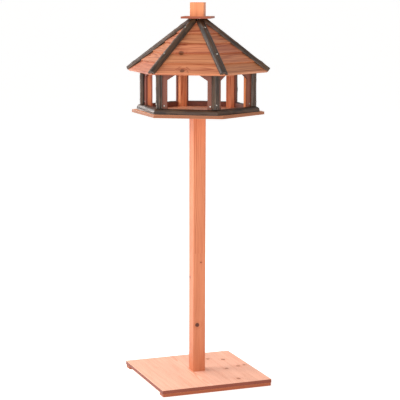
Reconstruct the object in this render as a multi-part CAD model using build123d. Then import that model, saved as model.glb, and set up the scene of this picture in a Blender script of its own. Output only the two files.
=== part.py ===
from build123d import *
import math
import os

# A six-sided wooden bird feeder house on a square post with a flat base.
# Units are millimetres. The origin is on the ground under the post, +Z is up.
# The base's sides run along X and Y. The roof has a side square to X, and the
# ring of walls under it is turned a little, as it was put together.

# ---- driving dimensions ----
BASE_SIDE = 400.0
BASE_THICKNESS = 13.0
BATTEN_WIDTH = 36.0
BATTEN_HEIGHT = 11.0
BATTEN_END_INSET = 2.0

POST_SIDE = 45.0
POST_EDGE_RADIUS = 2.5
LOWER_POST_LENGTH = 423.0
UPPER_POST_LENGTH = 488.0

FLOOR_ACROSS_FLATS = 400.0
FLOOR_THICKNESS = 10.0

WALL_APOTHEM = 166.0          # axis to the outer face of a wall panel
WALL_TURN = -3.0              # degrees, of the ring of walls against the roof
PANEL_THICKNESS = 7.0
STILE_WIDTH = 27.0
BOTTOM_RAIL_HEIGHT = 17.0
OPENING_TOP = 133.0           # above the floor plate
BRACE_WIDTH = 31.0            # the sloping top corners of an opening
BRACE_HEIGHT = 20.0

RIM_APOTHEM = 188.0
RIM_HEIGHT = 18.0
RIM_ROUND_RADIUS = 12.0

CORNER_LOG_RADIUS = 13.0
CORNER_LOG_CENTRE = 192.0     # axis to the centre of the log's round face
CORNER_LOG_BACK = 3.0         # planed off behind that centre

INNER_POST_SIDE = 20.0        # the two faces that lie against the panels
INNER_POST_DEPTH = 13.0

EAVE_APOTHEM = 207.0
EAVE_ABOVE_FLOOR = 133.0      # floor plate top to the underside of the eave
ROOF_SLOPE = 41.3             # degrees, of each roof face
BOARD_EXPOSURE = 48.0
BOARD_LAP = 12.0
BOARD_BUTT = 5.0
BOARD_TIP = 2.5
BOARD_COUNT = 6
TOP_BOARD_WIDTH = 12.0

RAFTER_WIDTH = 18.0
RAFTER_DEPTH = 20.0
RAFTER_OUTER_RADIUS = 170.0
KING_BLOCK_APOTHEM = 20.0
KING_BLOCK_HEIGHT = 40.0
KING_BLOCK_DROP = 21.0        # the roof's point to the top of the block

RIB_RADIUS = 14.0
RIB_CROWN = 18.3              # above the hip line, square to it
RIB_HEAD_RADIUS = 24.6        # axis to the upright end of a rib's head
RIB_SEAT_RADIUS = 31.5        # axis to where the level seat of a rib's head starts

CHIMNEY_PLATE_SIDE = 102.0
CHIMNEY_PLATE_THICKNESS = 7.0
CHIMNEY_SIDE = 48.0
CHIMNEY_HEIGHT = 47.0

EDGE_CHAMFER = 1.0            # on the edges of the flat plates and the ends of the stud

JOINT_GAP = 0.1               # between neighbouring pieces of wood
HIP_GAP = 0.4                 # between the boards of two roof faces
HOLE_CLEARANCE = 0.1
HOLE_MOUTH = 3.0              # how far a screw hole is open above the head
HEAD_SINK = 0.5               # a countersunk head below the wood's surface

# ---- levels, worked out from the sizes above ----
BASE_TOP = BATTEN_HEIGHT + BASE_THICKNESS
SPLICE_LEVEL = BASE_TOP + LOWER_POST_LENGTH
FLOOR_BOTTOM = SPLICE_LEVEL + UPPER_POST_LENGTH
FLOOR_TOP = FLOOR_BOTTOM + FLOOR_THICKNESS
RIM_TOP = FLOOR_TOP + RIM_HEIGHT
EAVE_LEVEL = FLOOR_TOP + EAVE_ABOVE_FLOOR

# ---- roof geometry ----
SLOPE = math.radians(ROOF_SLOPE)
HALF_CORNER = math.radians(30)
APEX_LEVEL = EAVE_LEVEL + EAVE_APOTHEM * math.tan(SLOPE)
EAVE_RADIUS = EAVE_APOTHEM / math.cos(HALF_CORNER)
HIP_SLOPE = math.atan(math.tan(SLOPE) * math.cos(HALF_CORNER))
# the angle between a hip's upward normal and the normal of a face beside it
HIP_TO_FACE = math.acos(
    math.sin(SLOPE) * math.cos(HALF_CORNER) * math.sin(HIP_SLOPE)
    + math.cos(SLOPE) * math.cos(HIP_SLOPE)
)
# how high a board's butt rests on the board below, and how high its top stands
BOARD_LENGTH = BOARD_EXPOSURE + BOARD_LAP
BOARD_REST = BOARD_BUTT * BOARD_LAP / BOARD_EXPOSURE + BOARD_TIP + JOINT_GAP
BUTT_TOP = BOARD_REST + BOARD_BUTT
CROWN_APEX = APEX_LEVEL + RIB_CROWN / math.cos(HIP_SLOPE)
PLATE_LEVEL = CROWN_APEX - math.tan(HIP_SLOPE) * RIB_SEAT_RADIUS
CHIMNEY_LEVEL = PLATE_LEVEL + CHIMNEY_PLATE_THICKNESS
KING_BLOCK_TOP = APEX_LEVEL - KING_BLOCK_DROP

# plan angle of each side's outward direction, and of each corner
SIDES = {
    "front": 240, "right": 300, "rear_right": 0,
    "rear": 60, "rear_left": 120, "left": 180,
}
CORNERS = {
    "front_right": 270, "right": 330, "rear_right": 30,
    "rear_left": 90, "left": 150, "front_left": 210,
}
# the same sides and corners in the turned ring of walls
WALL_SIDES = [angle + WALL_TURN for angle in SIDES.values()]
WALL_CORNERS = [angle + WALL_TURN for angle in CORNERS.values()]
FAR = 600.0                   # longer than any piece of the house


# ---- small helpers ----
def save(node, shape):
    """Write one named piece, or one group of like pieces, to its own file."""
    export_step(shape, f"parts/{node}.step")


def group(pieces):
    """Several separate solids that share one node."""
    return Compound(children=[solid for piece in pieces for solid in piece.solids()])


def slab(x_size, y_size, z_low, z_high):
    """A box centred on the post's axis between two levels."""
    middle = (z_low + z_high) / 2
    return Pos(0, 0, middle) * Box(x_size, y_size, z_high - z_low)


def hexagon_outline(apothem, corner_on_x=False):
    """A regular hexagon with either a flat or a corner over +X."""
    return RegularPolygon(apothem, 6, major_radius=False, rotation=0 if corner_on_x else 30)


def hexagon(apothem, z_low, z_high, corner_on_x=False):
    outline = hexagon_outline(apothem, corner_on_x)
    return Pos(0, 0, z_low) * extrude(outline, z_high - z_low)


def upright(points, z_low, z_high):
    """A prism over an outline drawn in plan."""
    return Pos(0, 0, z_low) * extrude(make_face(Polyline(*points, close=True)), z_high - z_low)


def sector(gap=JOINT_GAP):
    """The 60 degree wedge about +X that one side of the house fills."""
    start = gap / 2 / math.sin(HALF_CORNER)
    half_width = (FAR - start) * math.tan(HALF_CORNER)
    return upright([(start, 0), (FAR, -half_width), (FAR, half_width)], 0, 3 * FAR)


def side_profile(points):
    """An outline in the XZ plane, carried both ways along Y."""
    outline = make_face(Plane.XZ * Polyline(*points, close=True))
    return extrude(outline, FAR / 2, both=True)


def hip_plane(hip_radius):
    """The plane square to the hip over +X: its x runs across, its y outward."""
    level = APEX_LEVEL - hip_radius * math.tan(HIP_SLOPE)
    down_the_hip = (math.cos(HIP_SLOPE), 0, -math.sin(HIP_SLOPE))
    return Plane(origin=(hip_radius, 0, level), x_dir=(0, 1, 0), z_dir=down_the_hip)


def along_hip(outline, inner_radius, outer_radius):
    """Carry an outline along the hip over +X between two radii."""
    length = (outer_radius - inner_radius) / math.cos(HIP_SLOPE)
    return extrude(hip_plane(inner_radius) * outline, length)


def hip_vee(lift, half_width, floor):
    """Outline of everything below the two roof faces, seen along the hip.
    lift is measured square to a roof face."""
    crown = lift / math.cos(HIP_TO_FACE)
    edge = crown - half_width * math.tan(HIP_TO_FACE)
    return make_face(Polyline(
        (0, crown), (half_width, edge), (half_width, floor),
        (-half_width, floor), (-half_width, edge), close=True,
    ))


def under_roof(corner_on_x=False, gap=JOINT_GAP):
    """All the space under the roof boards, down to the floor plate, seen from
    the turned ring of walls."""
    drop = gap / math.cos(SLOPE)
    low_apothem = (APEX_LEVEL - drop - FLOOR_TOP) / math.tan(SLOPE)
    top_apothem = KING_BLOCK_APOTHEM
    top_level = APEX_LEVEL - drop - top_apothem * math.tan(SLOPE)
    low = Pos(0, 0, FLOOR_TOP) * hexagon_outline(low_apothem, corner_on_x)
    top = Pos(0, 0, top_level) * hexagon_outline(top_apothem, corner_on_x)
    return Rot(0, 0, -WALL_TURN) * loft([low, top], ruled=True)


# ---- fasteners ----
def screw(length, radius, head_radius, extra=0.0):
    """A countersunk wood screw, head up: its flat head is at z = 0.
    With extra it is the hole that the screw sits in, open above the head."""
    shank = radius + extra
    head = head_radius + extra
    cone_height = head - shank
    tip = 2 * radius
    mouth = [(0, HOLE_MOUTH), (head, HOLE_MOUTH)] if extra else [(0, 0)]
    profile = Polyline(
        *mouth, (head, 0), (shank, -cone_height), (shank, -(length - tip)),
        (0, -length - extra), close=True,
    )
    return revolve(make_face(Plane.XZ * profile), Axis.Z)


def nail(length, radius, head_radius, extra=0.0):
    """A flat-headed nail pointing down, the underside of its head at z = 0."""
    profile = Polyline(
        (0, NAIL_HEAD_HEIGHT), (head_radius, NAIL_HEAD_HEIGHT), (head_radius, 0),
        (radius + extra, 0), (radius + extra, -(length - 3 * radius)),
        (0, -length - extra), close=True,
    )
    return revolve(make_face(Plane.XZ * profile), Axis.Z)


def stud(length, radius, extra=0.0):
    """The headless steel dowel that joins the two post halves."""
    rod = Cylinder(radius + extra, length + 2 * extra)
    if extra:
        return rod
    return chamfer(rod.edges(), EDGE_CHAMFER)


def placed(maker, places, sizes, extra=0.0):
    return [place * maker(*sizes, extra=extra) for place in places]


def holes(maker, places, sizes):
    return placed(maker, places, sizes, extra=HOLE_CLEARANCE)


def around(places, angles):
    """The same places turned about the post's axis to each plan angle."""
    return [Rot(0, 0, angle) * place for angle in angles for place in places]


# length, shank radius and head radius of each kind
FLOOR_SCREW = (25.0, 2.0, 4.0)
POST_SCREW = (60.0, 2.5, 5.0)
BATTEN_SCREW = (20.0, 1.75, 3.5)
RIB_SCREW = (32.0, 1.75, 3.8)
CHIMNEY_SCREW = (90.0, 2.5, 5.0)
PANEL_NAIL = (18.0, 1.0, 2.6)
LOG_NAIL = (30.0, 1.0, 2.2)
POST_STUD = (120.0, 4.0)      # length and radius
NAIL_HEAD_HEIGHT = 1.2

UPWARD = Rot(180, 0, 0)
INWARD = Rot(0, 90, 0)        # head towards +X
BOTH_NEIGHBOURS = (-30, 30)   # from a side to its corners, or a corner to its sides

# where the fasteners go
RIB_SCREW_RADII = (68.0, 178.0)      # axis to each screw on a rib's crown
PANEL_NAIL_INSET = 17.5              # from the corner of the house
PANEL_NAIL_HEIGHTS = (28.0, 145.0)   # above the floor plate
LOG_NAIL_HEIGHTS = (34.0, 136.0)
LOG_NAIL_BITE = 0.6                  # the head's seat inside the log's round face
INNER_POST_SCREW_RADIUS = 171.0      # axis to the screw up into each inner post
RIM_SCREW_SPREAD = 60.0
POST_SCREW_SPREAD = 11.0
BATTEN_SCREW_SPREAD = 170.0


def rib_screw_places():
    """Two screws down through the crown of the rib over +X, to its rafter."""
    places = []
    for crown_radius in RIB_SCREW_RADII:
        frame = hip_plane(crown_radius - RIB_CROWN * math.sin(HIP_SLOPE))
        head = frame.origin + frame.y_dir * (RIB_CROWN - HEAD_SINK)
        upright_frame = Plane(head, x_dir=(0, 1, 0), z_dir=frame.y_dir)
        places.append(Location(upright_frame) * Rot(0, 0, 45))
    return places


def panel_nail_places():
    """Two nails at the foot and two near the head of the panel over +X."""
    across = WALL_APOTHEM * math.tan(HALF_CORNER) - PANEL_NAIL_INSET
    return [
        Pos(WALL_APOTHEM, y, FLOOR_TOP + above_floor) * INWARD
        for y in (-across, across)
        for above_floor in PANEL_NAIL_HEIGHTS
    ]


def log_nail_places():
    """One nail at the foot and one near the head of the log over +X."""
    seat = CORNER_LOG_CENTRE + CORNER_LOG_RADIUS - LOG_NAIL_BITE
    return [Pos(seat, 0, FLOOR_TOP + height) * INWARD for height in LOG_NAIL_HEIGHTS]


def inner_post_screw_places():
    """One screw up through the floor plate into the post over +X."""
    return [Pos(INNER_POST_SCREW_RADIUS, 0, FLOOR_BOTTOM) * UPWARD]


def rim_screw_places():
    """Two screws up through the floor plate into the rim log over +X."""
    apothem = (WALL_APOTHEM + RIM_APOTHEM) / 2
    across = (-RIM_SCREW_SPREAD, RIM_SCREW_SPREAD)
    return [Pos(apothem, y, FLOOR_BOTTOM) * UPWARD for y in across]


def all_floor_screw_places():
    posts = around(inner_post_screw_places(), WALL_CORNERS)
    return posts + around(rim_screw_places(), WALL_SIDES)


def post_end_pattern():
    spread = (-POST_SCREW_SPREAD, POST_SCREW_SPREAD)
    return [Pos(x, y, 0) for x in spread for y in spread]


def upper_post_screw_places():
    """Four screws down through the floor plate."""
    return [Pos(0, 0, FLOOR_TOP) * place for place in post_end_pattern()]


def lower_post_screw_places():
    """Four screws up through the base plate."""
    return [Pos(0, 0, BATTEN_HEIGHT) * place * UPWARD for place in post_end_pattern()]


def batten_screw_places():
    """Three screws up through each batten into the base plate."""
    batten_y = (BASE_SIDE - BATTEN_WIDTH) / 2
    return [
        Pos(x, y, HEAD_SINK) * UPWARD
        for y in (-batten_y, batten_y)
        for x in (-BATTEN_SCREW_SPREAD, 0, BATTEN_SCREW_SPREAD)
    ]


def chimney_screw_places():
    """One long screw up from the king block into the chimney."""
    return [Pos(0, 0, KING_BLOCK_TOP - KING_BLOCK_HEIGHT) * UPWARD]


def post_stud_places():
    return [Pos(0, 0, SPLICE_LEVEL)]


# ---- the base and the post ----
def base_plate():
    plate = slab(BASE_SIDE, BASE_SIDE, BATTEN_HEIGHT, BASE_TOP)
    plate -= holes(screw, lower_post_screw_places(), POST_SCREW)
    plate -= holes(screw, batten_screw_places(), BATTEN_SCREW)
    upper_edges = plate.faces().sort_by(Axis.Z)[-1].outer_wire().edges()
    return chamfer(upper_edges, EDGE_CHAMFER)


def batten(side):
    centre_y = side * (BASE_SIDE - BATTEN_WIDTH) / 2
    length = BASE_SIDE - 2 * BATTEN_END_INSET
    bar = Pos(0, centre_y, 0) * slab(length, BATTEN_WIDTH, 0, BATTEN_HEIGHT)
    return bar - holes(screw, batten_screw_places(), BATTEN_SCREW)


def post_half(z_low, z_high, screw_places):
    outline = RectangleRounded(POST_SIDE, POST_SIDE, POST_EDGE_RADIUS)
    half = Pos(0, 0, z_low) * extrude(outline, z_high - z_low)
    half -= holes(screw, screw_places, POST_SCREW)
    return half - holes(stud, post_stud_places(), POST_STUD)


# ---- the floor and the walls ----
def floor_plate():
    plate = hexagon(FLOOR_ACROSS_FLATS / 2, FLOOR_BOTTOM, FLOOR_TOP)
    plate -= holes(screw, upper_post_screw_places(), POST_SCREW)
    return plate - holes(screw, all_floor_screw_places(), FLOOR_SCREW)


def rim_log():
    """A low log with a rounded outer edge, mitred at both ends."""
    inner = WALL_APOTHEM + JOINT_GAP
    round_start = RIM_APOTHEM - RIM_ROUND_RADIUS
    section = Polyline(
        (round_start, RIM_TOP), (inner, RIM_TOP), (inner, FLOOR_TOP),
        (RIM_APOTHEM, FLOOR_TOP), (RIM_APOTHEM, RIM_TOP - RIM_ROUND_RADIUS),
    ) + RadiusArc(
        (RIM_APOTHEM, RIM_TOP - RIM_ROUND_RADIUS), (round_start, RIM_TOP), -RIM_ROUND_RADIUS,
    )
    log = extrude(make_face(Plane.XZ * section), FAR / 2, both=True) & sector()
    return log - holes(screw, rim_screw_places(), FLOOR_SCREW)


def wall_panel():
    """One board with an opening whose two top corners slope, mitred at the
    corners of the house, its top edge planed to the roof."""
    inner = WALL_APOTHEM - PANEL_THICKNESS
    middle = (inner + WALL_APOTHEM) / 2
    board = Pos(middle, 0, 0) * slab(PANEL_THICKNESS, FAR, FLOOR_TOP, APEX_LEVEL)
    half_opening = WALL_APOTHEM * math.tan(HALF_CORNER) - STILE_WIDTH
    sill = FLOOR_TOP + BOTTOM_RAIL_HEIGHT
    head = FLOOR_TOP + OPENING_TOP
    arch = [
        (-half_opening, sill), (half_opening, sill),
        (half_opening, head - BRACE_HEIGHT), (half_opening - BRACE_WIDTH, head),
        (-half_opening + BRACE_WIDTH, head), (-half_opening, head - BRACE_HEIGHT),
    ]
    opening = extrude(make_face(Plane.YZ * Polyline(*arch, close=True)), FAR)
    panel = (board & sector() & under_roof()) - opening
    panel -= holes(nail, panel_nail_places(), PANEL_NAIL)
    return panel - holes(nail, around(log_nail_places(), BOTH_NEIGHBOURS), LOG_NAIL)


def inner_post():
    """A five-sided post: two faces lie flat against two panels."""
    corner = (WALL_APOTHEM - PANEL_THICKNESS - JOINT_GAP) / math.cos(HALF_CORNER)
    face = (math.sin(HALF_CORNER) * INNER_POST_SIDE, math.cos(HALF_CORNER) * INNER_POST_SIDE)
    back = (math.cos(HALF_CORNER) * INNER_POST_DEPTH, math.sin(HALF_CORNER) * INNER_POST_DEPTH)
    outer_edge = (corner - face[0], face[1])
    inner_edge = (outer_edge[0] - back[0], outer_edge[1] - back[1])
    outline = [
        (corner, 0), outer_edge, inner_edge,
        (inner_edge[0], -inner_edge[1]), (outer_edge[0], -outer_edge[1]),
    ]
    post = upright(outline, FLOOR_TOP, APEX_LEVEL)
    above_rafter = Pos(0, FAR / 2 - RAFTER_DEPTH - JOINT_GAP) * Rectangle(FAR, FAR)
    post -= Rot(0, 0, -WALL_TURN) * along_hip(above_rafter, 0, 2 * EAVE_RADIUS)
    post -= holes(nail, around(panel_nail_places(), BOTH_NEIGHBOURS), PANEL_NAIL)
    post -= holes(nail, log_nail_places(), LOG_NAIL)
    return post - holes(screw, inner_post_screw_places(), FLOOR_SCREW)


def corner_log():
    """A half-round log whose back is cut to a vee over the wall's corner."""
    foot = RIM_TOP
    log = Pos(CORNER_LOG_CENTRE, 0, foot) * extrude(Circle(CORNER_LOG_RADIUS), FAR)
    back = CORNER_LOG_CENTRE - CORNER_LOG_BACK
    planed_back = Pos(back - FAR / 2, 0, foot + FAR / 2) * Box(FAR, FAR, FAR)
    wall = hexagon(WALL_APOTHEM + JOINT_GAP, foot, foot + FAR, corner_on_x=True)
    log = (log - planed_back - wall) & under_roof(corner_on_x=True)
    return log - holes(nail, log_nail_places(), LOG_NAIL)


# ---- the roof ----
def board_sections():
    """Outlines of the lapped boards, as distance from the axis and level. Each
    butt rests on the board below it, and the eave board lies on the rafters."""
    sections = []
    for course in range(BOARD_COUNT):
        start = course * BOARD_EXPOSURE
        is_top = course == BOARD_COUNT - 1
        end = start + (TOP_BOARD_WIDTH if is_top else BOARD_LENGTH)
        share = (end - start) / BOARD_LENGTH
        rest = BOARD_REST if course else 0.0
        sections.append([
            (start, rest), (start, BUTT_TOP),
            (end, BUTT_TOP + (BOARD_TIP - BUTT_TOP) * share), (end, rest * (1 - share)),
        ])
    return [[roof_point(up, out) for up, out in section] for section in sections]


def roof_point(up_slope, outward):
    """From distances up the roof's face and square to it, to axis distance
    and level."""
    distance = EAVE_APOTHEM - up_slope * math.cos(SLOPE) + outward * math.sin(SLOPE)
    level = EAVE_LEVEL + up_slope * math.sin(SLOPE) + outward * math.cos(SLOPE)
    return distance, level


def roof_boards():
    """The six lapped boards of one roof face, each mitred at the hips."""
    wedge = sector(gap=HIP_GAP)
    screw_holes = holes(screw, around(rib_screw_places(), BOTH_NEIGHBOURS), RIB_SCREW)
    boards = [(side_profile(section) & wedge) - screw_holes for section in board_sections()]
    return group(boards)


def hip_rafter():
    """The inside batten that the boards of two faces are fixed to."""
    floor = -RAFTER_DEPTH
    outline = hip_vee(-JOINT_GAP, RAFTER_WIDTH / 2, floor)
    bar = along_hip(outline, 0, EAVE_RADIUS)
    inner = KING_BLOCK_APOTHEM + JOINT_GAP
    length = RAFTER_OUTER_RADIUS - inner
    bar &= Pos(inner + length / 2, 0, EAVE_LEVEL) * Box(length, FAR, FAR)
    return bar - holes(screw, rib_screw_places(), RIB_SCREW)


def king_block():
    """The six-sided block that the rafters meet."""
    bottom = KING_BLOCK_TOP - KING_BLOCK_HEIGHT
    block = hexagon(KING_BLOCK_APOTHEM, bottom, KING_BLOCK_TOP, corner_on_x=True)
    return block - holes(screw, chimney_screw_places(), CHIMNEY_SCREW)


def roof_rib():
    """A half-round log over a hip, its back cut to a vee, its head cut level
    under the chimney plate and its foot cut square."""
    lift = BUTT_TOP + JOINT_GAP
    centre = RIB_CROWN - RIB_RADIUS
    outline = Pos(0, centre) * Circle(RIB_RADIUS) - hip_vee(lift, 2 * RIB_RADIUS, -2 * RIB_RADIUS)
    rib = along_hip(outline, 0, EAVE_RADIUS)
    kept = Pos(RIB_HEAD_RADIUS + FAR / 2, 0, PLATE_LEVEL - FAR / 2) * Box(FAR, FAR, FAR)
    return (rib & kept) - holes(screw, rib_screw_places(), RIB_SCREW)


def chimney_plate():
    """A square plate, like the block on it square to the front roof face."""
    plate = slab(CHIMNEY_PLATE_SIDE, CHIMNEY_PLATE_SIDE, PLATE_LEVEL, CHIMNEY_LEVEL)
    plate = chamfer(plate.edges().filter_by(Axis.Z), EDGE_CHAMFER)
    plate -= holes(screw, chimney_screw_places(), CHIMNEY_SCREW)
    return Rot(0, 0, SIDES["front"]) * plate


def chimney():
    block = slab(CHIMNEY_SIDE, CHIMNEY_SIDE, CHIMNEY_LEVEL, CHIMNEY_LEVEL + CHIMNEY_HEIGHT)
    block = fillet(block.edges().filter_by(Axis.Z), POST_EDGE_RADIUS)
    block -= holes(screw, chimney_screw_places(), CHIMNEY_SCREW)
    return Rot(0, 0, SIDES["front"]) * block


# ---- write every piece ----
def write_base():
    save("base_plate", base_plate())
    save("front_batten", batten(-1))
    save("rear_batten", batten(1))
    half_gap = JOINT_GAP / 2
    save("lower_post", post_half(BASE_TOP, SPLICE_LEVEL - half_gap, lower_post_screw_places()))
    save("upper_post", post_half(SPLICE_LEVEL + half_gap, FLOOR_BOTTOM, upper_post_screw_places()))


def write_ring(prefix, shape, angles, turn=0.0):
    """Write six copies of a piece, one for each side or corner."""
    for name, angle in angles.items():
        save(f"{prefix}_{name}", Rot(0, 0, angle + turn) * shape)


def write_house():
    save("floor_plate", floor_plate())
    write_ring("rim_log", rim_log(), SIDES, WALL_TURN)
    write_ring("wall_panel", wall_panel(), SIDES, WALL_TURN)
    write_ring("inner_post", inner_post(), CORNERS, WALL_TURN)
    write_ring("corner_log", corner_log(), CORNERS, WALL_TURN)


def write_roof():
    write_ring("roof_boards", roof_boards(), SIDES)
    write_ring("hip_rafter", hip_rafter(), CORNERS)
    write_ring("roof_rib", roof_rib(), CORNERS)
    save("king_block", king_block())
    save("chimney_plate", chimney_plate())
    save("chimney", chimney())


def write_fasteners():
    post_screw_places = upper_post_screw_places() + lower_post_screw_places()
    groups = {
        "rib_screws": placed(screw, around(rib_screw_places(), CORNERS.values()), RIB_SCREW),
        "panel_nails": placed(nail, around(panel_nail_places(), WALL_SIDES), PANEL_NAIL),
        "corner_log_nails": placed(nail, around(log_nail_places(), WALL_CORNERS), LOG_NAIL),
        "floor_screws": placed(screw, all_floor_screw_places(), FLOOR_SCREW),
        "post_screws": placed(screw, post_screw_places, POST_SCREW),
        "batten_screws": placed(screw, batten_screw_places(), BATTEN_SCREW),
        "chimney_screw": placed(screw, chimney_screw_places(), CHIMNEY_SCREW),
        "post_stud": placed(stud, post_stud_places(), POST_STUD),
    }
    for node, pieces in groups.items():
        save(node, group(pieces))


os.makedirs("parts", exist_ok=True)
write_base()
write_house()
write_roof()
write_fasteners()
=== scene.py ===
import math
import random

import bmesh
import bpy
import numpy as np
from mathutils import Matrix, Vector, noise
from mathutils.bvhtree import BVHTree


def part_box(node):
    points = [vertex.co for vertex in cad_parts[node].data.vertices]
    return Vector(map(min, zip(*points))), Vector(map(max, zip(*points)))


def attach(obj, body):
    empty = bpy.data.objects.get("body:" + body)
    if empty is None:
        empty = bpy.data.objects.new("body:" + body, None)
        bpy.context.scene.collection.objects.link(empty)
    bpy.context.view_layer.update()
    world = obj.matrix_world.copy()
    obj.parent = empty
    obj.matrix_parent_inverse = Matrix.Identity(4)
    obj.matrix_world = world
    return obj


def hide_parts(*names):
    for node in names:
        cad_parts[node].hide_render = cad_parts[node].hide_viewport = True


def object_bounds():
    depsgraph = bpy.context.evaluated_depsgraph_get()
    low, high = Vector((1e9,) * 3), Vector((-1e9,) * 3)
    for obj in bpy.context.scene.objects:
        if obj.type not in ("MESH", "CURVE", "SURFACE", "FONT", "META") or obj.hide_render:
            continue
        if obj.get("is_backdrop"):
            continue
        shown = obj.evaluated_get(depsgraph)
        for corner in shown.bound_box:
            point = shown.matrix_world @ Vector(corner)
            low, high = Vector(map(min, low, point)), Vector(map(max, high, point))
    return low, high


# A six-sided wooden bird feeder house on a post: the looks around the CAD frame.
# Lengths are metres. The base's sides run along X and Y, and Z is up.
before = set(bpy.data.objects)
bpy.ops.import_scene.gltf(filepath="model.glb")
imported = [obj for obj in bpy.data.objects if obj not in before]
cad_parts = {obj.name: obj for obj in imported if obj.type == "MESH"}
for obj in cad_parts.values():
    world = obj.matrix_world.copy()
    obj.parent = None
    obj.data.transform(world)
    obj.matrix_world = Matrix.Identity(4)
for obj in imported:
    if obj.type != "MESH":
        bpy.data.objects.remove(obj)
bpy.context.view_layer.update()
MM = 0.001
UP = Vector((0, 0, 1))
ACROSS_BASE = Vector((1, 0, 0))
INTO_BASE = Vector((0, 1, 0))

SIDES = ("front", "right", "rear_right", "rear", "rear_left", "left")
CORNERS = ("front_right", "right", "rear_right", "rear_left", "left", "front_left")
SEED = 7


def middle_of(points):
    points = list(points)
    return sum(points, Vector()) / len(points)


def outward_of(node):
    """The level direction from the post's axis to the middle of a CAD piece."""
    middle = middle_of(vert.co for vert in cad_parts[node].data.vertices)
    return Vector((middle.x, middle.y, 0)).normalized()


def level_direction(angle):
    """The level direction at a plan angle in degrees."""
    return Vector((math.cos(math.radians(angle)), math.sin(math.radians(angle)), 0))


def smooth_step(value, start, end):
    share = min(1.0, max(0.0, (value - start) / (end - start)))
    return share * share * (3 - 2 * share)


def scaled(place, scales):
    return Vector([value * scale for value, scale in zip(place, scales)])


def local_point(point, origin, axes):
    from_origin = point - origin
    return Vector([from_origin.dot(axis) for axis in axes])


# ---- reading the CAD pieces ----
WELD_DISTANCE = 0.002 * MM
FLAT_FOLD = math.radians(0.6)  # a smaller fold is a seam inside one flat face
BESIDE_GRAIN = 0.1             # the steepest that a board's side may run out of its grain


def cad_solid(node):
    """A CAD node's mesh with its flat faces whole again."""
    bm = bmesh.new()
    bm.from_mesh(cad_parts[node].data)
    bmesh.ops.remove_doubles(bm, verts=bm.verts, dist=WELD_DISTANCE)
    bmesh.ops.dissolve_limit(bm, angle_limit=FLAT_FOLD, verts=bm.verts, edges=bm.edges)
    return bm


def in_order(place):
    """A place to sort by, so that pieces of equal size are always taken in the same order."""
    return [round(value, 5) for value in place]


def separate_solids(bm):
    """The vertices of each loose solid in a mesh, the lowest solid first."""
    seen = set()
    solids = []
    for start in bm.verts:
        if start in seen:
            continue
        seen.add(start)
        solid = [start]
        for vert in solid:
            others = [edge.other_vert(vert) for edge in vert.link_edges]
            found = [other for other in others if other not in seen]
            seen.update(found)
            solid += found
        solids.append(solid)
    return sorted(solids, key=lambda verts: min(in_order(v.co.zxy) for v in verts))


def edge_rank(edge):
    start, end = edge.verts
    return round(edge.calc_length(), 6), in_order(start.co), in_order(end.co)


def face_rank(face):
    return round(face.calc_area(), 8), round(face.normal.z, 3), in_order(face.calc_center_median())


def longest_direction(edges):
    """The direction of the longest edge."""
    start, end = max(edges, key=edge_rank).verts
    return (end.co - start.co).normalized()


def grain_axes(verts, along=None):
    """Across, through and along a board: along its longest edge, unless that
    is given, and through its widest face."""
    if along is None:
        along = longest_direction({edge for vert in verts for edge in vert.link_edges})
    faces = {face for vert in verts for face in vert.link_faces}
    sides = [face for face in faces if abs(face.normal.dot(along)) < BESIDE_GRAIN]
    normal = max(sides, key=face_rank).normal
    through = (normal - along * normal.dot(along)).normalized()
    return along.cross(through), through, along


def finish_piece(name, bm, slot, node, sharpest):
    """Make the mesh an object that stands for its CAD node. Folds of more
    degrees than sharpest stay sharp."""
    mesh = bpy.data.meshes.new(name)
    bm.to_mesh(mesh)
    bm.free()
    mesh.materials.append(MATERIALS[slot])
    mesh.shade_smooth()
    mesh.set_sharp_from_angle(angle=math.radians(sharpest))
    piece = bpy.data.objects.new(name, mesh)
    bpy.context.scene.collection.objects.link(piece)
    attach(piece, "root")
    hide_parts(node)
    return piece


# ---- pieces of sawn wood ----
EASED_EDGE = 0.9 * MM
SHORTEST_EASED = 5 * MM        # the rims of screw holes stay sharp
SHARP_FOLD = math.radians(25)
SQUARELY = 0.8                 # how nearly a face must look along an axis to be marked


def mark_grain(bm, along, draw, tone, dark_edges):
    """Give each board its own grain coordinates and its own three numbers, the
    last of them its tone. Mark the faces that took more stain: end grain, and
    the edges of some plates."""
    grain = bm.verts.layers.float_vector.new("grain")
    board = bm.verts.layers.float_vector.new("board")
    end = bm.faces.layers.float.new("end")
    for verts in separate_solids(bm):
        axes = grain_axes(verts, along)
        origin = middle_of(vert.co for vert in verts)
        numbers = Vector((draw.random(), draw.random(), draw.random()))
        if tone is not None:
            numbers.z = tone
        for vert in verts:
            vert[grain] = local_point(vert.co, origin, axes)
            vert[board] = numbers
        stained = (axes[0], axes[2]) if dark_edges else (axes[2],)
        for face in {face for vert in verts for face in vert.link_faces}:
            face[end] = float(max(abs(face.normal.dot(axis)) for axis in stained) > SQUARELY)


def ease_edges(bm, width):
    """Round the long edges as sanding does. Mark them as worn, or as end grain
    where they border on it."""
    end = bm.faces.layers.float["end"]
    worn = bm.faces.layers.float.new("worn")
    edges = [
        edge for edge in bm.edges
        if len(edge.link_faces) == 2
        and edge.calc_length() > SHORTEST_EASED
        and edge.calc_face_angle(0) > SHARP_FOLD
    ]
    made = bmesh.ops.bevel(
        bm, geom=edges, offset=width, segments=2, profile=0.5,
        affect="EDGES", clamp_overlap=True,
    )
    eased = set(made["faces"])
    ends = [face for face in bm.faces if face[end] and face not in eased]
    by_ends = {other for face in ends for edge in face.edges for other in edge.link_faces} & eased
    for face in eased:
        face[worn] = float(face not in by_ends)
        face[end] = float(face in by_ends)


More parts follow.
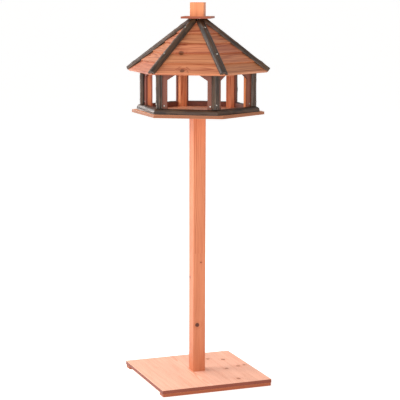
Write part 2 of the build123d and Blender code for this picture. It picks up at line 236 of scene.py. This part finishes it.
def sawn(node, slot, along=None, eased=EASED_EDGE, tone=None, dark_edges=False):
    """A planed piece with eased edges in place of its CAD node."""
    draw = random.Random(f"{SEED} {node}")
    bm = cad_solid(node)
    mark_grain(bm, along, draw, tone, dark_edges)
    ease_edges(bm, eased)
    piece = finish_piece(f"{node}_wood", bm, slot, node, sharpest=50)
    normals = piece.modifiers.new("flat_faces", "WEIGHTED_NORMAL")
    normals.keep_sharp = True


# ---- the section of a log ----
LOG_STEP = 2.2 * MM            # between stations along a log
SECTION_STEP = 1.7 * MM        # between points round its section
SHORTEST_SIDE = 0.6 * MM       # a shorter side of the CAD section is left out
PITH_DEPTH = 4 * MM            # of the pith behind the middle of the section
BARK_START = -0.6              # a surface that faces the back more than this is flat
BARK_EDGE = 4 * MM             # over which the bark starts beside a flat
INWARD = 0.05                  # share of the way to the middle, clear of the surface


def section_loop(node, origin, along):
    """The outline of a CAD log where a square cut at origin meets it."""
    bm = cad_solid(node)
    cut = bmesh.ops.bisect_plane(
        bm, geom=bm.verts[:] + bm.edges[:] + bm.faces[:], plane_co=origin, plane_no=along,
    )
    edges = {item for item in cut["geom_cut"] if isinstance(item, bmesh.types.BMEdge)}
    edge = min(edges, key=lambda e: (in_order(e.verts[0].co), in_order(e.verts[1].co)))
    first = vert = edge.verts[0]
    loop = [vert.co.copy()]
    while True:
        edges.discard(edge)
        vert = edge.other_vert(vert)
        if vert is first:
            break
        loop.append(vert.co.copy())
        edge = next(e for e in vert.link_edges if e in edges)
    bm.free()
    return loop


def simplified(loop, shortest):
    """The outline without points closer together than shortest."""
    kept = [loop[0]]
    for point in loop[1:]:
        if (point - kept[-1]).length > shortest:
            kept.append(point)
    return kept


def evenly_spaced(loop, step):
    """Points along a closed outline, keeping its corners."""
    points = []
    for start, end in zip(loop, loop[1:] + loop[:1]):
        count = max(1, round((end - start).length / step))
        points += [start.lerp(end, i / count) for i in range(count)]
    return points


def outline_normals(points, along):
    """Outward directions of a closed outline."""
    centre = middle_of(points)
    normals = [
        (after - before).cross(along).normalized()
        for before, after in zip(points[-1:] + points[:-1], points[1:] + points[:1])
    ]
    turned = sum(normal.dot(point - centre) for normal, point in zip(normals, points))
    return normals if turned > 0 else [-normal for normal in normals]


def bark_weights(points, normals, out):
    """1 on the round side of a log and 0 on the flats that lie against others."""
    rough = [smooth_step(normal.dot(out), BARK_START, 0.0) for normal in normals]
    flat = [point for point, share in zip(points, rough) if share < 0.5]
    return [
        share * smooth_step(min((point - other).length for other in flat), 0, BARK_EDGE)
        for point, share in zip(points, rough)
    ]


def log_spans(solid, loop, along, reach):
    """Where the log starts and ends in front of and behind each point."""
    tree = BVHTree.FromBMesh(solid)
    centre = middle_of(loop)
    spans = []
    for point in loop:
        inside = point.lerp(centre, INWARD)
        ends = [
            tree.ray_cast(inside + along * way * reach, -along * way)[0]
            for way in (-1, 1)
        ]
        spans.append([(end - inside).dot(along) for end in ends])
    return spans


class LogCore:
    """A CAD log as the outline of its middle and how far it reaches from there."""

    def __init__(self, node, out, along=None):
        solid = cad_solid(node)
        if along is None:
            along = longest_direction(solid.edges)
        reach = [vert.co.dot(along) for vert in solid.verts]
        middle = along * (max(reach) + min(reach)) / 2
        outline = simplified(section_loop(node, middle, along), SHORTEST_SIDE)
        self.half_length = (max(reach) - min(reach)) / 2
        self.out = out
        self.along = along
        self.across = along.cross(out).normalized()
        self.loop = evenly_spaced(outline, SECTION_STEP)
        self.normals = outline_normals(self.loop, along)
        self.weights = bark_weights(self.loop, self.normals, out)
        self.spans = log_spans(solid, self.loop, along, 2 * self.half_length)
        self.pith = middle_of(self.loop) - out * PITH_DEPTH
        self.radius = max((point - self.pith).dot(out) for point in self.loop)
        solid.free()

    def from_pith(self, place):
        return local_point(place, self.pith, (self.across, self.out, self.along))


# ---- the surface of a log ----
class Bark:
    """The uneven surface of a peeled log: swellings, ridges and knots."""

    LUMP = 1.0 * MM
    LUMP_SCALES = (45, 45, 13)
    RIDGE = 0.35 * MM
    RIDGE_SCALES = (260, 260, 20)
    PEELED = 0.5 * MM          # how far the surface lies inside the CAD solid
    KNOT_COUNTS = (2, 3, 4)
    KNOT_TURN = 1.2            # farthest round the log from its front, in radians
    KNOT_REACH = 0.85          # farthest along the log, as a share of half its length
    KNOT_SIZES = (4.5 * MM, 7.5 * MM)
    KNOT_RISES = (0.9 * MM, 1.9 * MM)

    def __init__(self, draw, core, swell):
        self.offset = Vector((draw.uniform(0, 50), draw.uniform(0, 50), draw.uniform(0, 50)))
        self.swell = swell
        self.knots = []
        for _ in range(draw.choice(self.KNOT_COUNTS)):
            turn = draw.uniform(-self.KNOT_TURN, self.KNOT_TURN)
            along = draw.uniform(-self.KNOT_REACH, self.KNOT_REACH) * core.half_length
            place = Vector((core.radius * math.sin(turn), core.radius * math.cos(turn), along))
            size = draw.uniform(*self.KNOT_SIZES)
            rise = draw.uniform(*self.KNOT_RISES)
            self.knots.append((place, size, rise))

    def knot_share(self, place):
        return max(math.exp(-((place - knot).length / size) ** 2) for knot, size, _ in self.knots)

    def height(self, place):
        lumps = noise.noise(scaled(place, self.LUMP_SCALES) + self.offset)
        ridges = noise.noise(scaled(place, self.RIDGE_SCALES) - self.offset)
        height = self.swell - self.PEELED + self.LUMP * lumps + self.RIDGE * ridges
        for knot, size, rise in self.knots:
            away = ((place - knot).length / size) ** 2
            height += rise * (math.exp(-away) - 0.7 * math.exp(-away * 5))
        return height


EASED_END = 1.2 * MM
DRAWN_IN = 0.9 * EASED_END     # how far the rim of an end lies inside the bark
FACING_BACK = -0.3             # a surface that faces the back more than this has a seat
SEAT_WIDTH = 0.6               # of the seat beside the pith, as a share of the radius
SEAT_DEPTH = 7 * MM            # the deepest step between two lapped boards
SEAT_GAP = 0.2 * MM
HEAD_ROOM = 0.8 * MM           # round a head that is let into a log
HEAD_SINK = 1.1 * MM           # from a head's face down to the wood round it
HEAD_DEPTH = 6 * MM            # wood that is farther off along the axis stays


def down_to_seat(place, core, seat):
    """How far the middle of a log's back can reach down to the boards below."""
    start = place + core.across * math.copysign(1 * MM, place.dot(core.across))
    hit = seat.ray_cast(start, -core.out, SEAT_DEPTH)[0]
    return max(0.0, (start - hit).length - SEAT_GAP) if hit else 0.0


def bark_point(core, bark, i, station, count, seat):
    """Where point i of the outline is at a station, and its place from the
    pith. The stations before 0 and after count are the rims of the two ends."""
    start, end = core.spans[i]
    share = min(1.0, max(0.0, station / count))
    place = core.loop[i] + core.along * (start + (end - start) * share)
    normal = core.normals[i]
    from_pith = core.from_pith(place)
    height = bark.height(from_pith) * core.weights[i]
    if station < 0 or station > count:
        height = min(height, 0) - DRAWN_IN
    elif station == 0:
        place = place + core.along * EASED_END
    elif station == count:
        place = place - core.along * EASED_END
    in_seat = normal.dot(core.out) < FACING_BACK and abs(from_pith.x) < SEAT_WIDTH * core.radius
    if seat and in_seat:
        place = place - core.out * down_to_seat(place, core, seat)
    return place + normal * height, from_pith


def join_rings(bm, rings):
    """The faces between each ring of vertices and the next one."""
    for ring, following in zip(rings, rings[1:]):
        for i in range(len(ring)):
            j = (i + 1) % len(ring)
            bm.faces.new((ring[i], ring[j], following[j], following[i]))


def let_in_head(bm, head, axis, size):
    """Press the wood down round a screw or nail head."""
    for vert in bm.verts:
        rise = (vert.co - head).dot(axis)
        aside = (vert.co - head - axis * rise).length
        if aside < size + HEAD_ROOM and abs(rise) < HEAD_DEPTH:
            vert.co -= axis * max(0.0, rise + HEAD_SINK)


def log(node, out, along=None, swell=0.0, heads=(), seat=None):
    """A half-round log with its natural shape in place of its CAD node. Its
    back follows the boards of the seat that it lies on."""
    draw = random.Random(f"{SEED} {node}")
    core = LogCore(node, out, along)
    bark = Bark(draw, core, swell)
    numbers = Vector((draw.random(), draw.random(), draw.random()))
    bm = bmesh.new()
    grain = bm.verts.layers.float_vector.new("grain")
    board = bm.verts.layers.float_vector.new("board")
    knotty = bm.verts.layers.float.new("knotty")
    count = round(2 * core.half_length / LOG_STEP)
    rings = []
    for station in range(-1, count + 2):
        ring = []
        for i, weight in enumerate(core.weights):
            place, from_pith = bark_point(core, bark, i, station, count, seat)
            vert = bm.verts.new(place)
            vert[grain] = from_pith
            vert[board] = numbers
            vert[knotty] = bark.knot_share(from_pith) * weight
            ring.append(vert)
        rings.append(ring)
    join_rings(bm, rings)
    bm.faces.new(reversed(rings[0]))
    bm.faces.new(rings[-1])
    for head in heads:
        let_in_head(bm, *head)
    bmesh.ops.recalc_face_normals(bm, faces=bm.faces)
    finish_piece(f"{node}_wood", bm, "rustic_log", node, sharpest=48)


# ---- screws and nails ----
AROUND = 32
THINNEST_RING = 0.02 * MM      # a smaller ring of the CAD outline is its tip
HEAD_ROUNDING = 0.12           # of the head's rim, as a share of its radius
HEAD_DOME = 0.1                # of a nail's head, as a share of its radius
HEAD_SHARES = (0.95, 0.75, 0.6, 0.5, 0.4, 0.3, 0.2, 0.1)
NEAR_BOX = 4 * MM


def turned_shape(verts):
    """Axis, outermost centre and outline of a turned fastener."""
    points = np.array([vert.co for vert in verts])
    centre = points.mean(0)
    axis = np.linalg.svd(points - centre)[2][0]
    along = (points - centre) @ axis
    radius = np.linalg.norm(points - centre - np.outer(along, axis), axis=1)
    if radius[along > along.mean()].max() < radius[along < along.mean()].max():
        axis, along = -axis, -along
    outline = {}
    for place, size in zip(along, radius):
        key = round(place / MM, 1)
        outline[key] = max(outline.get(key, 0.0), size)
    head = Vector(centre + axis * along.max())
    return Vector(axis), head, [(key * MM - along.max(), outline[key]) for key in sorted(outline)]


def fastener_shapes(node):
    bm = cad_solid(node)
    shapes = [turned_shape(verts) for verts in separate_solids(bm)]
    bm.free()
    return shapes


def head_places(node):
    """Centre, axis and radius of each head in a fastener node."""
    return [(head, axis, outline[-1][1]) for axis, head, outline in fastener_shapes(node)]


def near(places, node):
    """The heads whose centres lie in a node's box or close to it."""
    low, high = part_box(node)
    return [
        place for place in places
        if all(low[i] - NEAR_BOX < place[0][i] < high[i] + NEAR_BOX for i in range(3))
    ]


def cross_recess(x, y, radius):
    """Depth of a cross recess under the head's face."""
    arm, width, depth = 0.62 * radius, 0.15 * radius, 0.45 * radius
    along, aside = max(abs(x), abs(y)), min(abs(x), abs(y))
    inside = smooth_step(aside, width * 1.5, width * 0.8)
    return depth * inside * (1 - smooth_step(along, 0.5 * arm, arm))


def face_depth(x, y, radius, recessed):
    """How far a point of the head's face lies below the top of its axis."""
    if recessed:
        return cross_recess(x, y, radius)
    return HEAD_DOME * (x * x + y * y) / radius


def fastener_rings(outline):
    """Place along the axis and radius of each ring, from the tip to the middle
    of the head's face, which is at place 0."""
    size = outline[-1][1]
    rings = [(place, radius) for place, radius in outline[:-1] if radius > THINNEST_RING]
    rings.append((-HEAD_ROUNDING * size, size))
    return rings + [(0.0, size * share) for share in HEAD_SHARES]


def turn_fastener(bm, axis, head, outline, recessed):
    size = outline[-1][1]
    aside = axis.orthogonal().normalized()
    other = axis.cross(aside)
    rings = []
    for place, radius in fastener_rings(outline):
        ring = []
        for i in range(AROUND):
            turn = 2 * math.pi * i / AROUND
            x, y = radius * math.cos(turn), radius * math.sin(turn)
            z = -face_depth(x, y, size, recessed) if place == 0.0 else place
            ring.append(bm.verts.new(head + aside * x + other * y + axis * z))
        rings.append(ring)
    join_rings(bm, rings)
    tip = bm.verts.new(head + axis * outline[0][0])
    top = bm.verts.new(head - axis * face_depth(0, 0, size, recessed))
    for i in range(AROUND):
        j = (i + 1) % AROUND
        bm.faces.new((tip, rings[0][j], rings[0][i]))
        bm.faces.new((rings[-1][i], rings[-1][j], top))


def fasteners(node, recessed):
    """Every screw or nail of a node, turned, with a real head."""
    bm = bmesh.new()
    for axis, head, outline in fastener_shapes(node):
        turn_fastener(bm, axis, head, outline, recessed)
    bmesh.ops.recalc_face_normals(bm, faces=bm.faces)
    finish_piece(f"{node}_steel", bm, "steel", node, sharpest=35)


# ---- materials ----
def linear(code):
    """A colour such as c87850 as linear red, green, blue and alpha."""
    channels = [int(code[i:i + 2], 16) / 255 for i in (0, 2, 4)]
    return [c / 12.92 if c < 0.04045 else ((c + 0.055) / 1.055) ** 2.4 for c in channels] + [1.0]


class Recipe:
    """Writes the nodes of one material."""

    BOARD_SHIFTS = (7.0, 5.0, 3.0)     # how far a board's own numbers move its figure

    def __init__(self, name):
        self.material = bpy.data.materials.new(name)
        self.material.use_nodes = True
        self.tree = self.material.node_tree
        self.shader = self.tree.nodes["Principled BSDF"]

    def node(self, kind, inputs=None, **settings):
        made = self.tree.nodes.new("ShaderNode" + kind)
        for key, value in settings.items():
            setattr(made, key, value)
        for socket, value in (inputs or {}).items():
            self.feed(made.inputs[socket], value)
        return made

    def feed(self, socket, value):
        if isinstance(value, bpy.types.NodeSocket):
            self.tree.links.new(value, socket)
        else:
            socket.default_value = value

    def attribute(self, name, output="Vector"):
        return self.node("Attribute", attribute_name=name).outputs[output]

    def board_numbers(self):
        """The three numbers of a board, each from 0 to 1."""
        return self.node("SeparateXYZ", {0: self.attribute("board")}).outputs

    def figure_place(self):
        """The place in the wood's figure, of which each board has its own part."""
        grain = self.attribute("grain")
        return self.vector("MULTIPLY_ADD", self.attribute("board"), self.BOARD_SHIFTS, grain)

    def math(self, operation, *values):
        return self.node("Math", dict(enumerate(values)), operation=operation).outputs[0]

    def vector(self, operation, *values, output="Vector"):
        made = self.node("VectorMath", dict(enumerate(values)), operation=operation)
        return made.outputs[output]

    def plus(self, value, extra, share):
        """A value with a share of another one added."""
        return self.math("MULTIPLY_ADD", extra, share, value)

    def around(self, middle, value, spread):
        """From spread below middle to spread above it as value goes from 0 to 1."""
        return self.plus(middle, self.math("SUBTRACT", value, 0.5), 2 * spread)

    def noise(self, place, across, along, detail=3.0):
        """Noise with so many features a metre across the grain and along it."""
        stretched = self.vector("MULTIPLY", place, (across, across, along))
        inputs = {"Vector": stretched, "Scale": 1.0, "Detail": detail, "Roughness": 0.55}
        return self.node("TexNoise", inputs).outputs[0]

    def smooth(self, value, start, end, low=0.0, high=1.0):
        """A value carried smoothly from one range to another."""
        inputs = {"Value": value, "From Min": start, "From Max": end, "To Min": low, "To Max": high}
        return self.node("MapRange", inputs, interpolation_type="SMOOTHSTEP").outputs["Result"]

    def mix(self, share, first, second):
        made = self.node("Mix", data_type="RGBA")
        self.feed(made.inputs[0], share)
        self.feed(made.inputs[6], first)
        self.feed(made.inputs[7], second)
        return made.outputs[2]

    def adjusted(self, colour, value, hue=0.5):
        inputs = {"Hue": hue, "Value": value, "Color": colour}
        return self.node("HueSaturation", inputs).outputs["Color"]

    def finish(self, colour, roughness, height=None, depth=0.0, specular=0.4):
        self.feed(self.shader.inputs["Base Color"], colour)
        self.feed(self.shader.inputs["Roughness"], roughness)
        self.shader.inputs["Specular IOR Level"].default_value = specular
        if height is not None:
            bump = self.node("Bump", {"Height": height, "Distance": depth, "Strength": 1.0})
            self.feed(self.shader.inputs["Normal"], bump.outputs["Normal"])
        return self.material


RING_GAP = 3.0 * MM            # between growth rings
KNOT_SPACING = 0.11            # between the cells that may hold a scattered knot
KNOT_SHARES = (0.035, 0.075)   # smallest and largest scattered knot, of its cell
NO_KNOT = 9.0                  # distance to a knot that isn't there, in its radii
PITH_ASIDE = 0.035             # farthest that the pith line lies beside a board
PITH_BELOW = (0.022, 0.052)    # nearest and farthest that it lies below one
BLOTCH = 0.12                  # how much the stain varies over a board
DEEP_END = 0.95                # how fully end grain takes the darker stain
OILED = 0.5                    # roughness


def nearest_chosen(r, knots):
    """Distance to the nearest knot of a list, in radii of that knot."""
    place = r.node("TexCoord").outputs["Object"]
    nearest = NO_KNOT
    for x, y, z, radius in knots:
        away = r.vector("DISTANCE", place, (x, y, z), output="Value")
        nearest = r.math("MINIMUM", nearest, r.math("DIVIDE", away, radius))
    return nearest


def nearest_scattered(r, place, chance):
    """Distance to a scattered knot, in its radii. Few of the cells hold one."""
    near_cell = 1 / KNOT_SPACING
    cell = r.vector("MULTIPLY", place, (near_cell, near_cell, near_cell / 2))
    scattered = r.node("TexVoronoi", {"Vector": cell, "Scale": 1.0, "Randomness": 1.0})
    numbers = r.node("SeparateColor", {0: scattered.outputs["Color"]}).outputs
    size = r.smooth(numbers[1], 0.0, 1.0, *KNOT_SHARES)
    away = r.math("DIVIDE", scattered.outputs["Distance"], size)
    return r.plus(away, r.math("GREATER_THAN", numbers[0], chance), NO_KNOT)


def pine_knots(r, place, chance, chosen):
    """How much a point is inside a knot, and how much near one."""
    away = r.math("MINIMUM", nearest_scattered(r, place, chance), nearest_chosen(r, chosen))
    away = r.around(away, r.noise(place, 150.0, 90.0, detail=2.0), 0.25)
    return r.smooth(away, 1.05, 0.75), r.smooth(away, 3.2, 0.9)


def late_wood(r, place, numbers, near_knot):
    """The dark part of each growth ring, about a pith line below the board.
    The rings are pushed aside by the knots."""
    aside = r.around(0.0, numbers[0], PITH_ASIDE)
    below = r.plus(PITH_BELOW[0], numbers[1], PITH_BELOW[1] - PITH_BELOW[0])
    pith = r.node("CombineXYZ", {0: aside, 1: below, 2: 0.0}).outputs[0]
    from_pith = r.vector("ADD", r.attribute("grain"), pith)
    level = r.vector("MULTIPLY", from_pith, (1.0, 1.0, 0.0))
    radius = r.vector("LENGTH", level, output="Value")
    radius = r.plus(radius, r.noise(place, 9.0, 2.6, detail=2.0), 0.02)
    radius = r.plus(radius, near_knot, 0.005)
    phase = r.math("FRACT", r.math("DIVIDE", radius, RING_GAP))
    return r.math("MULTIPLY", r.smooth(phase, 0.35, 0.9), r.smooth(phase, 1.0, 0.93))


def pine(name, pale, dark, knot, end, contrast=0.5, streaks=0.3, spread=0.12, knots=(),
         knot_chance=0.45):
    """Oiled softwood: growth rings, streaks, knots, end grain and eased edges.
    Contrast is of the rings, and spread is between boards."""
    r = Recipe(name)
    numbers = r.board_numbers()
    place = r.figure_place()
    in_knot, near_knot = pine_knots(r, place, knot_chance, knots)
    late = late_wood(r, place, numbers, near_knot)
    fibre = r.noise(place, 900.0, 22.0, detail=4.0)
    pores = r.smooth(r.noise(place, 420.0, 12.0, detail=2.0), 0.62, 0.78)
    streak = r.noise(place, 110.0, 6.0)
    patch = r.noise(place, 16.0, 5.0)

    tone = r.math("MULTIPLY", late, contrast)
    tone = r.around(tone, streak, streaks)
    tone = r.around(tone, fibre, 0.275)
    tone = r.plus(tone, pores, 0.25)
    tone = r.plus(tone, near_knot, 0.22)
    colour = r.mix(r.smooth(tone, -0.15, 1.0), linear(pale), linear(dark))
    colour = r.mix(in_knot, colour, linear(knot))
    end_grain = r.math("MULTIPLY", r.attribute("end", "Fac"), DEEP_END)
    colour = r.mix(end_grain, colour, linear(end))
    board_value = r.around(1.0, numbers[2], spread)
    value = r.math("MULTIPLY", r.around(1.0, patch, BLOTCH), board_value)
    colour = r.adjusted(colour, value, hue=r.around(0.5, numbers[0], 0.006))
    rubbed = r.math("MULTIPLY", r.attribute("worn", "Fac"), r.smooth(patch, 0.35, 0.65, 0.15, 0.5))
    colour = r.mix(rubbed, colour, linear(pale))

    rough = r.plus(r.around(OILED, fibre, 0.125), in_knot, -0.1)
    height = r.math("MULTIPLY", r.plus(fibre, pores, -0.6), 0.7)
    height = r.plus(height, late, 0.35)
    return r.finish(colour, rough, height, depth=0.25 * MM)


def bark_stain(name, deep, mid, rubbed, cracked):
    """Dark stained, peeled log: streaks, cracks, knots and rubbed ridges."""
    r = Recipe(name)
    place = r.figure_place()
    knotty = r.attribute("knotty", "Fac")
    streak = r.noise(place, 190.0, 11.0, detail=5.0)
    patch = r.noise(place, 34.0, 12.0)
    fibre = r.noise(place, 1100.0, 45.0)
    crack = r.noise(place, 230.0, 5.0, detail=2.0)
    crack = r.smooth(r.math("ABSOLUTE", r.math("SUBTRACT", crack, 0.5)), 0.035, 0.0)
    crack = r.math("MULTIPLY", crack, r.smooth(patch, 0.45, 0.6))

    colour = r.mix(r.smooth(streak, 0.32, 0.68), linear(deep), linear(mid))
    colour = r.mix(r.smooth(patch, 0.5, 0.72, 0.0, 0.75), colour, linear(rubbed))
    colour = r.mix(r.smooth(fibre, 0.35, 0.75, 0.0, 0.35), colour, linear(deep))
    knot_ring = r.math("SINE", r.math("MULTIPLY", knotty, 16.0))
    ringed = r.mix(r.smooth(knot_ring, -1.0, 1.0), linear(deep), linear(mid))
    colour = r.mix(r.smooth(knotty, 0.3, 0.6, 0.0, 0.8), colour, ringed)
    colour = r.mix(r.math("MULTIPLY", crack, 0.8), colour, linear(cracked))
    colour = r.adjusted(colour, r.around(1.0, r.board_numbers()[2], 0.12))

    rough = r.smooth(streak, 0.3, 0.7, 0.55, 0.38)
    height = r.math("SUBTRACT", r.plus(streak, fibre, 0.25), crack)
    return r.finish(colour, rough, height, depth=0.7 * MM, specular=0.55)


def zinc_steel(name, bright, dull):
    """Bright zinc-plated steel with a slight grain of wear."""
    r = Recipe(name)
    wear = r.noise(r.node("TexCoord").outputs["Object"], 600.0, 600.0)
    colour = r.mix(r.smooth(wear, 0.4, 0.7), linear(bright), linear(dull))
    r.shader.inputs["Metallic"].default_value = 1.0
    return r.finish(colour, r.smooth(wear, 0.3, 0.7, 0.28, 0.5), wear, depth=0.05 * MM)


# chosen knots: x, y, z and radius
BASE_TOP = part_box("base_plate")[1].z
POST_LEFT, POST_FRONT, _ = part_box("lower_post")[0]
BASE_KNOTS = (
    (0.086, 0.116, BASE_TOP, 7 * MM), (0.136, 0.090, BASE_TOP, 8 * MM),
    (0.104, -0.024, BASE_TOP, 7 * MM), (0.154, -0.009, BASE_TOP, 8 * MM),
    (0.095, -0.155, BASE_TOP, 8 * MM), (0.180, -0.003, BASE_TOP, 6 * MM),
)
POST_KNOTS = (
    (0.005, POST_FRONT, 0.415, 2.5 * MM), (-0.008, POST_FRONT, 0.192, 8 * MM),
    (POST_LEFT, 0.013, 0.358, 5 * MM),
)
ROOF_KNOTS = (
    (-0.098, -0.103, 1.148, 9 * MM), (-0.117, -0.165, 1.0925, 9 * MM),
    (-0.103, -0.176, 1.087, 4 * MM),
)
MATERIALS = {
    "base_pine": pine("base_pine", "f8c0a2", "d9906a", "b0683e", end="742c0a", streaks=0.6,
                      spread=0.03, knots=BASE_KNOTS, knot_chance=0.12),
    "post_pine": pine("post_pine", "de8c5e", "b85e34", "5c2c14", end="a4522a", streaks=0.6,
                      spread=0.2, knots=POST_KNOTS, knot_chance=0.2),
    "floor_pine": pine("floor_pine", "f0a27c", "cc7852", "7c3c20", end="8e5032"),
    "roof_pine": pine("roof_pine", "c27a54", "8e4428", "6e3c22", end="96492a", contrast=0.6,
                      streaks=1.3, spread=0.07, knots=ROOF_KNOTS, knot_chance=0.25),
    "inner_pine": pine("inner_pine", "e6a873", "c88652", "7a4a2a", end="b07848"),
    "stained_panel": pine("stained_panel", "844a3a", "582c20", "381c16", end="5a3028",
                          spread=0.06, knot_chance=0.2),
    "rustic_log": bark_stain("rustic_log", "1c0f06", "523318", rubbed="664c32",
                             cracked="1a110b"),
    "steel": zinc_steel("steel", "c4bfb6", "8f8a80"),
}


# ---- the pieces ----
CORNER_LOG_SWELL = {"front_left": -2.2 * MM, "front_right": 1.0 * MM}


def make_base_and_post():
    sawn("base_plate", "base_pine", along=INTO_BASE, eased=0.6 * MM, dark_edges=True)
    for node in ("front_batten", "rear_batten"):
        sawn(node, "post_pine", tone=0.1, dark_edges=True)
    for node in ("lower_post", "upper_post"):
        sawn(node, "post_pine", along=UP, tone=0.05)


def make_house():
    sawn("floor_plate", "floor_pine", along=ACROSS_BASE, dark_edges=True)
    for side in SIDES:
        node = f"rim_log_{side}"
        log(node, (outward_of(node) + UP).normalized())
        sawn(f"wall_panel_{side}", "stained_panel", along=UP)
    nail_heads = head_places("corner_log_nails")
    for corner in CORNERS:
        # The inner posts take the lightest tone (1.0) of the post's pine, while the post takes a
        # dark one: painted light that stands in for the light reaching the inside of the house.
        sawn(f"inner_post_{corner}", "post_pine", along=UP, tone=1.0)
        node = f"corner_log_{corner}"
        swell = CORNER_LOG_SWELL.get(corner, 0.0)
        log(node, outward_of(node), UP, swell=swell, heads=near(nail_heads, node))


def roof_surface():
    """All the roof boards as one tree for casting rays at."""
    bm = bmesh.new()
    for side in SIDES:
        bm.from_mesh(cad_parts[f"roof_boards_{side}"].data)
    tree = BVHTree.FromBMesh(bm)
    bm.free()
    return tree


def make_roof():
    for side in SIDES:
        sawn(f"roof_boards_{side}", "roof_pine", eased=0.7 * MM)
    screw_heads = head_places("rib_screws")
    boards = roof_surface()
    for corner in CORNERS:
        sawn(f"hip_rafter_{corner}", "inner_pine")
        node = f"roof_rib_{corner}"
        heads = near(screw_heads, node)
        _, out, _ = heads[0]
        along = UP.cross(out).normalized().cross(out)
        log(node, out, along, heads=heads, seat=boards)
    sawn("king_block", "inner_pine", along=UP)
    across_front = UP.cross(outward_of("roof_boards_front"))
    sawn("chimney_plate", "roof_pine", along=across_front, dark_edges=True)
    sawn("chimney", "post_pine", along=UP, tone=0.8)


def make_fasteners():
    for node in ("rib_screws", "floor_screws", "post_screws", "batten_screws", "chimney_screw"):
        fasteners(node, recessed=True)
    for node in ("panel_nails", "corner_log_nails"):
        fasteners(node, recessed=False)
    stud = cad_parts["post_stud"]
    stud.data.materials.clear()
    stud.data.materials.append(MATERIALS["steel"])


make_base_and_post()
make_house()
make_roof()
make_fasteners()


# ---- floor, light and camera ----
FLOOR_REACH = 400.0            # past the edge of the view on every side
FLOOR_GLOW = 0.45
WORLD_STRENGTH = 0.6
WHITE = (1.0, 1.0, 1.0, 1.0)
CAMERA_TURN = 20.9             # degrees in plan, from looking along +Y
CAMERA_PITCH = 9.0             # degrees below level
CAMERA_YAW = 0.11              # degrees to the right of the post
CAMERA_ROLL = 0.15             # degrees
CAMERA_DISTANCE = 4.72
CAMERA_HEIGHT = 1.38
CAMERA_LENS = 123.7            # lens and sensor in millimetres
CAMERA_SENSOR = 36.0
CLIP_END = 1000.0


def make_floor():
    bm = bmesh.new()
    bmesh.ops.create_grid(bm, x_segments=2, y_segments=2, size=FLOOR_REACH)
    mesh = bpy.data.meshes.new("floor")
    bm.to_mesh(mesh)
    bm.free()
    r = Recipe("pale_floor")
    r.shader.inputs["Emission Color"].default_value = WHITE
    r.shader.inputs["Emission Strength"].default_value = FLOOR_GLOW
    mesh.materials.append(r.finish(linear("f6f5f4"), 0.9, specular=0.1))
    floor = bpy.data.objects.new("floor", mesh)
    bpy.context.scene.collection.objects.link(floor)
    floor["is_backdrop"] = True


def make_world():
    """Soft light from all around, which looks plain white itself."""
    world = bpy.data.worlds.new("studio")
    world.use_nodes = True
    tree = world.node_tree
    background = tree.nodes["Background"]
    background.inputs["Color"].default_value = WHITE
    seen = tree.nodes.new("ShaderNodeLightPath").outputs["Is Camera Ray"]
    strength = tree.nodes.new("ShaderNodeMapRange")
    strength.inputs["To Min"].default_value = WORLD_STRENGTH
    strength.inputs["To Max"].default_value = 1.0
    tree.links.new(seen, strength.inputs["Value"])
    tree.links.new(strength.outputs["Result"], background.inputs["Strength"])
    bpy.context.scene.world = world


def soft_box(name, turn, elevation, distance, size, watts):
    """A square light that looks at the middle of the object."""
    lamp = bpy.data.lights.new(name, "AREA")
    lamp.size = size
    lamp.energy = watts
    low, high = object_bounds()
    lift = math.radians(elevation)
    away = level_direction(turn) * math.cos(lift) + UP * math.sin(lift)
    box = bpy.data.objects.new(name, lamp)
    box.location = (low + high) / 2 + away * distance
    box.rotation_euler = away.to_track_quat("Z", "Y").to_euler()
    bpy.context.scene.collection.objects.link(box)


def make_camera():
    data = bpy.data.cameras.new("camera")
    data.lens = CAMERA_LENS
    data.sensor_width = CAMERA_SENSOR
    data.clip_end = CLIP_END
    camera = bpy.data.objects.new("camera", data)
    turn = math.radians(CAMERA_TURN)
    place = Vector((-math.sin(turn), -math.cos(turn), 0)) * CAMERA_DISTANCE + UP * CAMERA_HEIGHT
    facing = Matrix.Rotation(-math.radians(CAMERA_TURN + CAMERA_YAW), 4, "Z")
    facing @= Matrix.Rotation(math.radians(90 - CAMERA_PITCH), 4, "X")
    facing @= Matrix.Rotation(math.radians(CAMERA_ROLL), 4, "Z")
    camera.matrix_world = Matrix.Translation(place) @ facing
    bpy.context.scene.collection.objects.link(camera)
    bpy.context.scene.camera = camera


make_floor()
make_world()
soft_box("key_light", turn=165, elevation=32, distance=3.2, size=1.6, watts=66)
soft_box("sheen_light", turn=120, elevation=20, distance=3.2, size=1.6, watts=55)
soft_box("front_light", turn=250, elevation=14, distance=3.5, size=2.0, watts=52)
make_camera()
bpy.context.scene.view_settings.view_transform = "Standard"
